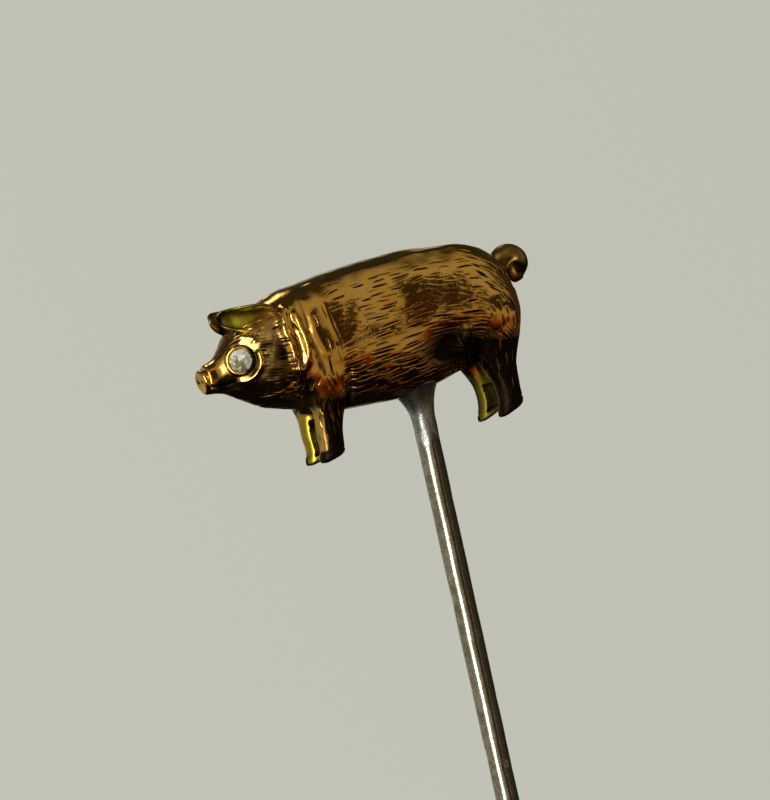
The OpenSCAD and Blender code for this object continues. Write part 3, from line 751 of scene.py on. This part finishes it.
COLLET_LOW, COLLET_HIGH = box_mm("eye_collet_left")
EYE_TURN, EYE_LIFT, COLLET_R, STONE_R = 26, 3, 0.66, 0.51


def at_eye(data, side):
    """Puts a piece made about Z on the head, its floor on the collet's seat and +Z looking out."""
    centre = (COLLET_LOW + COLLET_HIGH) / 2
    turn, lift = math.radians(EYE_TURN), math.radians(EYE_LIFT)
    look = Vector((-math.sin(turn), -math.cos(turn), math.tan(lift)))
    look.normalize()
    lean = Vector((0, 0, 1)).rotation_difference(look).to_matrix().to_4x4()
    data.transform(Matrix.Translation(Vector(centre)) @ lean)
    if side > 0:
        # the right half was struck with its eye a little further back and deeper
        data.transform(Matrix.Translation((0.3, 0.1, 0)))
        data.transform(Matrix.Scale(-1, 4, (0, 1, 0)))
        data.flip_normals()
    return data


def collet(side):
    """Rub-over collet: the rim was pushed over the stone by hand, so it is lumpy and uneven."""
    rng = np.random.default_rng(40 + side)
    phases = rng.uniform(0, 6.28, 3)

    def lumpy(angle, radius, height):
        swell = sum(math.sin(angle * k + p) for k, p in zip((3, 5, 9), phases)) / 3
        return radius + 0.012 * swell * smoothstep(-0.1, 0.2, height) * (radius > 0.3)

    profile = rounded([(0, -0.25), (COLLET_R + 0.06, -0.25), (COLLET_R + 0.02, 0.1), (COLLET_R - 0.06, 0.21),
                       (STONE_R - 0.03, 0.2), (STONE_R - 0.02, 0.13), (STONE_R + 0.01, 0.03),
                       (STONE_R * 0.45, -0.18), (0, -0.18)], 0.06)
    made = welded("collet", *turned(profile, 72, lumpy))
    points = points_of(made)
    # painted shade: the rim is a little darker all round and much darker on one side, with some unevenness
    dull = 0.12 + 0.5 * smoothstep(
        -0.3, 0.5, points[:, 0] * 0.7 - points[:, 1] * 0.7 + 0.2 * waves(points, 0.4, 44))
    mark(made, "tarnish_and_shade", dull)
    return at_eye(made, side)


def stone(side):
    """Cut paste: table, eight star and eight main facets on the crown, and eight on the foiled back."""
    eight = [2 * math.pi * k / 8 + 0.2 for k in range(8)]
    half = math.pi / 8

    def ring(radius, height, off):
        return [(radius * math.cos(a + off), radius * math.sin(a + off), height) for a in eight]

    points = (ring(STONE_R * 0.55, 0.25, 0) + ring(STONE_R * 0.8, 0.2, half) + ring(STONE_R, 0.14, 0)
              + ring(STONE_R, 0.14, half) + ring(STONE_R, 0.11, 0) + ring(STONE_R, 0.11, half) + [(0, 0, -0.14)])
    t, s, g, h, i, j, culet = 0, 8, 16, 24, 32, 40, 48
    crown, back = [list(range(8))], []
    for k in range(8):
        n = (k + 1) % 8
        crown += [[t + k, s + k, t + n], [t + k, s + (k - 1) % 8, g + k, s + k], [s + k, g + k, h + k],
                  [s + k, h + k, g + n], [g + k, i + k, j + k, h + k], [h + k, j + k, i + n, g + n]]
        back += [[i + k, culet, j + k], [j + k, culet, i + n]]
    made = mesh_mm("stone", points, crown + back)
    outward(made)
    made.materials.append(PASTE)
    made.materials.append(TARNISHED_FOIL)
    for face in made.polygons:
        face.material_index = 1 if face.index >= len(crown) else 0
    return at_eye(made, side)


for side, hand in ((-1, "left"), (1, "right")):
    piece("ear_leaf_" + hand, ear(side), YELLOW_GILT, "pin", "ear_" + hand)
    piece("collet_" + hand, collet(side), YELLOW_GILT, "pin", "eye_collet_" + hand)
    piece("paste_" + hand, stone(side), PASTE, "pin", "eye_stone_" + hand, smooth=False)


def snout():
    """Snout disc, stretched a little up and down, with two nostrils pressed in and a rolled edge."""
    low, high = box_mm("snout_disc")
    centre = (low + high) / 2
    radius = (high[1] - low[1]) / 2 * 0.86
    rows = rounded([(0, -0.2), (radius * 0.86, -0.2), (radius * 0.9, -0.06), (radius, 0.02), (radius * 0.98, 0.13),
                    (radius * 0.8, 0.2), (0, 0.17)], 0.07, 4)
    made = with_modifier(welded("snout", *turned(rows, 64)), "REMESH", mode="VOXEL", voxel_size=0.02)
    relax(made, 3)
    points = points_of(made)
    face = smoothstep(0.0, 0.1, points[:, 2])
    for way in (-1, 1):
        near = np.exp(-((points[:, 1] - way * 0.2) / 0.085) ** 2 - ((points[:, 0] + 0.02) / 0.13) ** 2)
        points[:, 2] -= 0.05 * near * face
    points[:, 2] += 0.01 * waves(points, 0.5, 6)
    nostril = sum(np.exp(-((points[:, 1] - way * 0.2) / 0.1) ** 2 - ((points[:, 0] + 0.02) / 0.15) ** 2)
                  for way in (-1, 1))
    points[:, 0] *= 1.04
    set_points(made, points)
    # the nostrils are marked darker
    mark(made, "tarnish_and_shade", 0.15 * nostril * face)
    seat = Matrix.Translation(Vector(centre) + Vector((0.12, 0, -0.03)))
    made.transform(seat @ Matrix.Rotation(math.radians(-102), 4, "Y"))
    return made


piece("snout", snout(), ROSE_GILT, "pin", "snout_disc")


def tube(path, sides=20):
    """Points and faces of a closed round bar along (x, y, z, radius) rows."""
    rings, across = [], None
    for i, row in enumerate(path):
        way = Vector(path[min(i + 1, len(path) - 1)][:3]) - Vector(path[max(i - 1, 0)][:3])
        way.normalize()
        across = way.cross(Vector((0.02, 1, 0.01))) if across is None else across - way * across.dot(way)
        across = across.normalized()
        other = way.cross(across)
        middle = Vector(row[:3])
        rings.append([tuple(middle + (across * math.cos(a) + other * math.sin(a)) * row[3])
                      for a in np.arange(sides) * 2 * math.pi / sides])
    return skin(rings)


def tail():
    """One tight curl of tapered wire, its end tucked under."""
    low, high = box_mm("tail")
    curl = Vector((high[0] - 0.9, 0, high[2] - 0.82))
    rows = [(curl.x - 0.95, 0.22, curl.z - 0.5, 0.46), (curl.x - 0.6, 0.24, curl.z - 0.25, 0.5)]
    for k in range(15):
        a = math.radians(185 - k * 18)
        rows.append((curl.x + 0.36 * math.cos(a), 0.22 - 0.035 * k, curl.z + 0.36 * math.sin(a), 0.5 - 0.007 * k))
    rows += [(curl.x + 0.06, -0.34, curl.z - 0.62, 0.36), (curl.x + 0.12, -0.34, curl.z - 0.84, 0.2)]
    # the curl closes on itself, leaving only a dimple
    heart = [(curl.x + 0.02, -0.34 + 0.1 * k, curl.z, 0.3 * math.sin(math.pi * (k + 0.5) / 6)) for k in range(6)]
    parts = [outward(mesh_mm("tail", *tube(catmull(rows, 4)))), outward(mesh_mm("heart", *tube(heart)))]
    made = with_modifier(joined(parts, "tail"), "REMESH", mode="VOXEL", voxel_size=0.035)
    relax(made, 5)
    points, normals = points_of(made), normals_of(made)
    set_points(made, points + normals * (0.015 * waves(points, 0.7, 12))[:, None])
    # the whole curl is marked darker, patchily
    dull = 0.5 + 0.3 * waves(points, 0.9, 13)
    mark(made, "tarnish_and_shade", dull)
    return made


piece("tail_curl", tail(), ROSE_GILT, "pin", "tail")


# ---- solder and stem

STEM_LOW, STEM_HIGH = box_mm("pin_stem")
FILED_R = 0.455


def solder():
    """Soft solder run up round the stem: it wets both metals, so it thins to nothing down the wire and
    spreads in a lumpy foot on the belly."""
    profile = [(0.3, -1.4), (0.484, -1.4)]
    for z in np.linspace(-1.3, 1.45, 40):
        foot = 0.55 * max(z + 0.15, 0) ** 1.9 / 1.6 ** 1.9 * 1.1
        profile.append((0.492 + 0.02 * smoothstep(-1.4, -0.2, z) + foot, z))
    profile += [(0.3, 1.45)]

    def lumps(a, r, z):
        if r < 0.4:
            return r
        swell = math.sin(3 * a + 1) * 0.5 + math.sin(5 * a + 0.5 * z) * 0.3 + math.sin(2 * a - z) * 0.4
        return r * (1 + 0.06 * swell * smoothstep(-0.6, 0.9, z)) + 0.006 * math.sin(7 * a + 2) * math.sin(5 * z)

    made = welded("solder", *turned(profile, 72, lumps))
    points = points_of(made)
    points[:, 0] -= 0.1 * smoothstep(0.2, 1.4, points[:, 2])
    set_points(made, points)
    return made


def stem():
    """Drawn wire, filed a little thinner towards the point, with tiny dents and tool marks."""
    low, high = STEM_LOW[2], STEM_HIGH[2]
    heights = np.concatenate([np.linspace(low, low + 7, 40), np.arange(low + 7.15, 0.4, 0.15), [high]])
    rng = np.random.default_rng(5)
    dents = [(rng.uniform(-46, -1), rng.uniform(0, 6.28), rng.uniform(0.008, 0.022)) for _ in range(60)]
    rings = []
    for z in heights:
        u = (z - low) / 7
        if u < 1:
            radius = FILED_R * min(1, 0.09 + 0.55 * u ** 0.8 + 0.36 * u)
        else:
            radius = FILED_R + 0.045 * smoothstep(-46, -4, z)
        ring = []
        for a in np.arange(48) * 2 * math.pi / 48:
            dent = sum(d * math.exp(-((z - h) / 0.3) ** 2 - (((a - b + math.pi) % (2 * math.pi) - math.pi) / 0.5) ** 2)
                       for h, b, d in dents if abs(z - h) < 0.8) if u >= 1 else 0
            r = radius - dent + 0.004 * math.sin(1.7 * z + 2 * a)
            ring.append((r * math.cos(a), r * math.sin(a), z))
        rings.append(ring)
    return outward(mesh_mm("stem", *skin(rings)))


piece("solder_foot", solder(), SOFT_SOLDER, "pin", "belly_solder")
piece("stem_wire", stem(), STEM_WIRE, "pin", "pin_stem")


# ---- keeper

BARREL_LOW, BARREL_HIGH = box_mm("keeper_barrel")
KNOB_LOW, KNOB_HIGH = box_mm("keeper_knob")
STEM_HOLE_R = 0.51


def keeper_barrel():
    """Turned barrel with a rounded nose, two fine grooves and a beaded lower edge."""
    r, low, high = BARREL_HIGH[0], BARREL_LOW[2], BARREL_HIGH[2]
    bore, hole = r - 0.5, STEM_HOLE_R
    profile = [(hole, high), (r * 0.55, high), (r * 0.8, high - 0.12), (r - 0.14, high - 0.45), (r, high - 1.0)]
    for z in (high - 1.9, high - 2.3):
        profile += [(r, z + 0.12), (r - 0.1, z + 0.04), (r - 0.1, z - 0.04), (r, z - 0.12)]
    profile += [(r, low + 1.0), (r - 0.12, low + 0.9), (r - 0.12, low + 0.72), (r, low + 0.6), (r, low + 0.1),
                (r - 0.1, low), (bore, low), (bore, high - 2.3), (r - 1.35, high - 0.5), (hole, high - 0.5)]

    def beads(a, radius, z):
        edge = radius > r - 0.02 and low + 0.05 < z < low + 0.65
        return radius - 0.06 * (0.5 - 0.5 * math.cos(a * 40)) if edge else radius

    return welded("barrel", *turned(rounded(profile, 0.08), 240, beads))


def keeper_knob():
    """Pull knob with a straight-knurled grip round its waist."""
    r, low, high = KNOB_HIGH[0], KNOB_LOW[2], KNOB_HIGH[2]
    bore, socket = STEM_HOLE_R, 0.91
    profile = [(0, low), (r * 0.5, low + 0.02), (r * 0.8, low + 0.16), (r - 0.06, low + 0.5), (r, low + 0.9),
               (r, low + 2.3), (r - 0.18, low + 2.45), (r - 0.5, low + 2.75), (r - 0.5, high - 0.95),
               (r - 0.2, high - 0.65), (r, high - 0.5), (r, high - 0.08), (r - 0.08, high), (socket, high),
               (socket, high - 1.6), (bore, high - 1.6), (bore, low + 0.9), (0, low + 0.9)]

    def knurl(a, radius, z):
        grip = radius > r - 0.03 and low + 0.85 < z < low + 2.4
        return radius - 0.07 * (0.5 - 0.5 * math.cos(a * 48)) if grip else radius

    return welded("knob", *turned(rounded(profile, 0.08), 288, knurl))


piece("barrel", keeper_barrel(), WORN_NICKEL, "keeper", "keeper_barrel")
piece("knob", keeper_knob(), WORN_NICKEL, "plunger", "keeper_knob")


def finish_cad(finish, *nodes):
    """Gives CAD pieces that are kept as they are their finish."""
    for node in nodes:
        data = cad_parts[node].data
        data.materials.clear()
        data.materials.append(finish)


finish_cad(WORN_NICKEL, "keeper_cap", "keeper_plunger")
finish_cad(BARE_STEEL, "keeper_balls", "keeper_spring")
finish_cad(SOFT_SOLDER, "seam_solder")
finish_cad(YELLOW_GILT, "stem_anchor")


# ---- studio

def toward(tree, direction, way):
    """How far a direction leans one way."""
    made = add(tree, "ShaderNodeVectorMath", {0: direction}, operation="DOT_PRODUCT")
    made.inputs[1].default_value = Vector(way).normalized()
    return made.outputs["Value"]


def panel(tree, direction, way, half_wide, half_high, soft):
    """Share of a soft-edged upright panel of the room, seen that way from the pin. Sizes are in parts of
    its distance."""
    way = Vector(way).normalized()
    wide = Vector((0, 0, 1)).cross(way).normalized()
    high = way.cross(wide)
    share = ramp(tree, toward(tree, direction, way), [(0.2, 0.0), (0.3, 1.0)])
    for axis, half in ((wide, half_wide), (high, half_high)):
        away = sums(tree, "ABSOLUTE", toward(tree, direction, axis), 0.0)
        share = sums(tree, "MULTIPLY", share, ramp(tree, away, [(max(half - soft, 0), 1.0), (half + soft, 0.0)]))
    return share


def room():
    """Dim room with a pale wall behind the pin. What the pin mirrors is a lit wall in front of it, a dark
    figure with a low bench beside it, an open door on the right, a window on the left, a dark ceiling
    with a small lamp, and a dark floor with a warm glow near the horizon."""
    world = bpy.data.worlds.new("room")
    world.use_nodes = True
    bpy.context.scene.world = world
    tree = world.node_tree
    sky = tree.nodes["Background"]
    direction = add(tree, "ShaderNodeTexCoord").outputs["Generated"]
    height = sums(tree, "MULTIPLY", sums(tree, "ADD", toward(tree, direction, (0, 0, 1)), 1.0), 0.5)
    front = ramp(tree, height, [(0.1, "090807"), (0.17, "140b06"), (0.22, "63290a"), (0.28, "8a5c30"),
                                (0.33, "a99f88"), (0.93, "b0aa96"), (0.98, "3a3826")])
    rear = ramp(tree, height, [(0.3, "0d0b08"), (0.42, "b4b4a8"), (0.66, "a8a89c"), (0.74, "2e2f24")])
    facing = ramp(tree, toward(tree, direction, (0, -1, 0.35)), [(0.05, 0.0), (0.22, 1.0)])
    colour = mixed(tree, facing, rear, front)
    figure = panel(tree, direction, (0.16, -1, 0.34), 0.23, 0.5, 0.02)
    colour = mixed(tree, figure, colour, "37261a")
    bench = panel(tree, direction, (0.84, -0.54, 0.0), 0.5, 0.12, 0.03)
    colour = mixed(tree, bench, colour, "2b261c")
    door = panel(tree, direction, (0.93, 0.35, 0.12), 0.5, 0.45, 0.08)
    colour = mixed(tree, door, colour, "3b3427")
    window = panel(tree, direction, (-0.7, -0.6, 0.22), 0.15, 0.42, 0.03)
    colour = mixed(tree, window, colour, (11.0, 11.5, 12.0))
    lamp = panel(tree, direction, (0.03, 0.57, 0.82), 0.14, 0.14, 0.04)
    colour = mixed(tree, lamp, colour, (3.5, 3.5, 3.4))
    seen = add(tree, "ShaderNodeLightPath").outputs["Is Camera Ray"]
    shade = ramp(tree, toward(tree, direction, (1, 0, 0.4)), [(0.3, 0.0), (0.62, 1.0)])
    wall = mixed(tree, shade, "c3c3b7", "b9baad")
    tree.links.new(mixed(tree, seen, colour, wall), sky.inputs["Color"])


FLOOR_DROP = 0.018


def floor():
    """Pale matt floor that fades into the wall's colour, low enough for the keeper to slide right off."""
    bpy.ops.mesh.primitive_circle_add(vertices=96, radius=0.5, fill_type="NGON",
                                      location=(0, 0, KNOB_LOW[2] * MM - FLOOR_DROP))
    ground = bpy.context.object
    ground.name = "floor"
    made, tree, shader = new_material("pale_floor", 0.0)
    shader.inputs["Base Color"].default_value = srgb("d4d4c8")
    shader.inputs["Roughness"].default_value = 0.9
    place = add(tree, "ShaderNodeTexCoord").outputs["Object"]
    away = add(tree, "ShaderNodeVectorMath", {0: place}, operation="LENGTH").outputs["Value"]
    clear = add(tree, "ShaderNodeBsdfTransparent")
    blend = add(tree, "ShaderNodeMixShader", {0: ramp(tree, away, [(0.03, 0.0), (0.4, 1.0)]),
                                              1: shader.outputs["BSDF"], 2: clear.outputs["BSDF"]})
    tree.links.new(blend.outputs[0], tree.nodes["Material Output"].inputs["Surface"])
    ground.data.materials.append(made)
    ground.visible_glossy = False


room()
floor()
bpy.context.scene.view_settings.view_transform = "Standard"
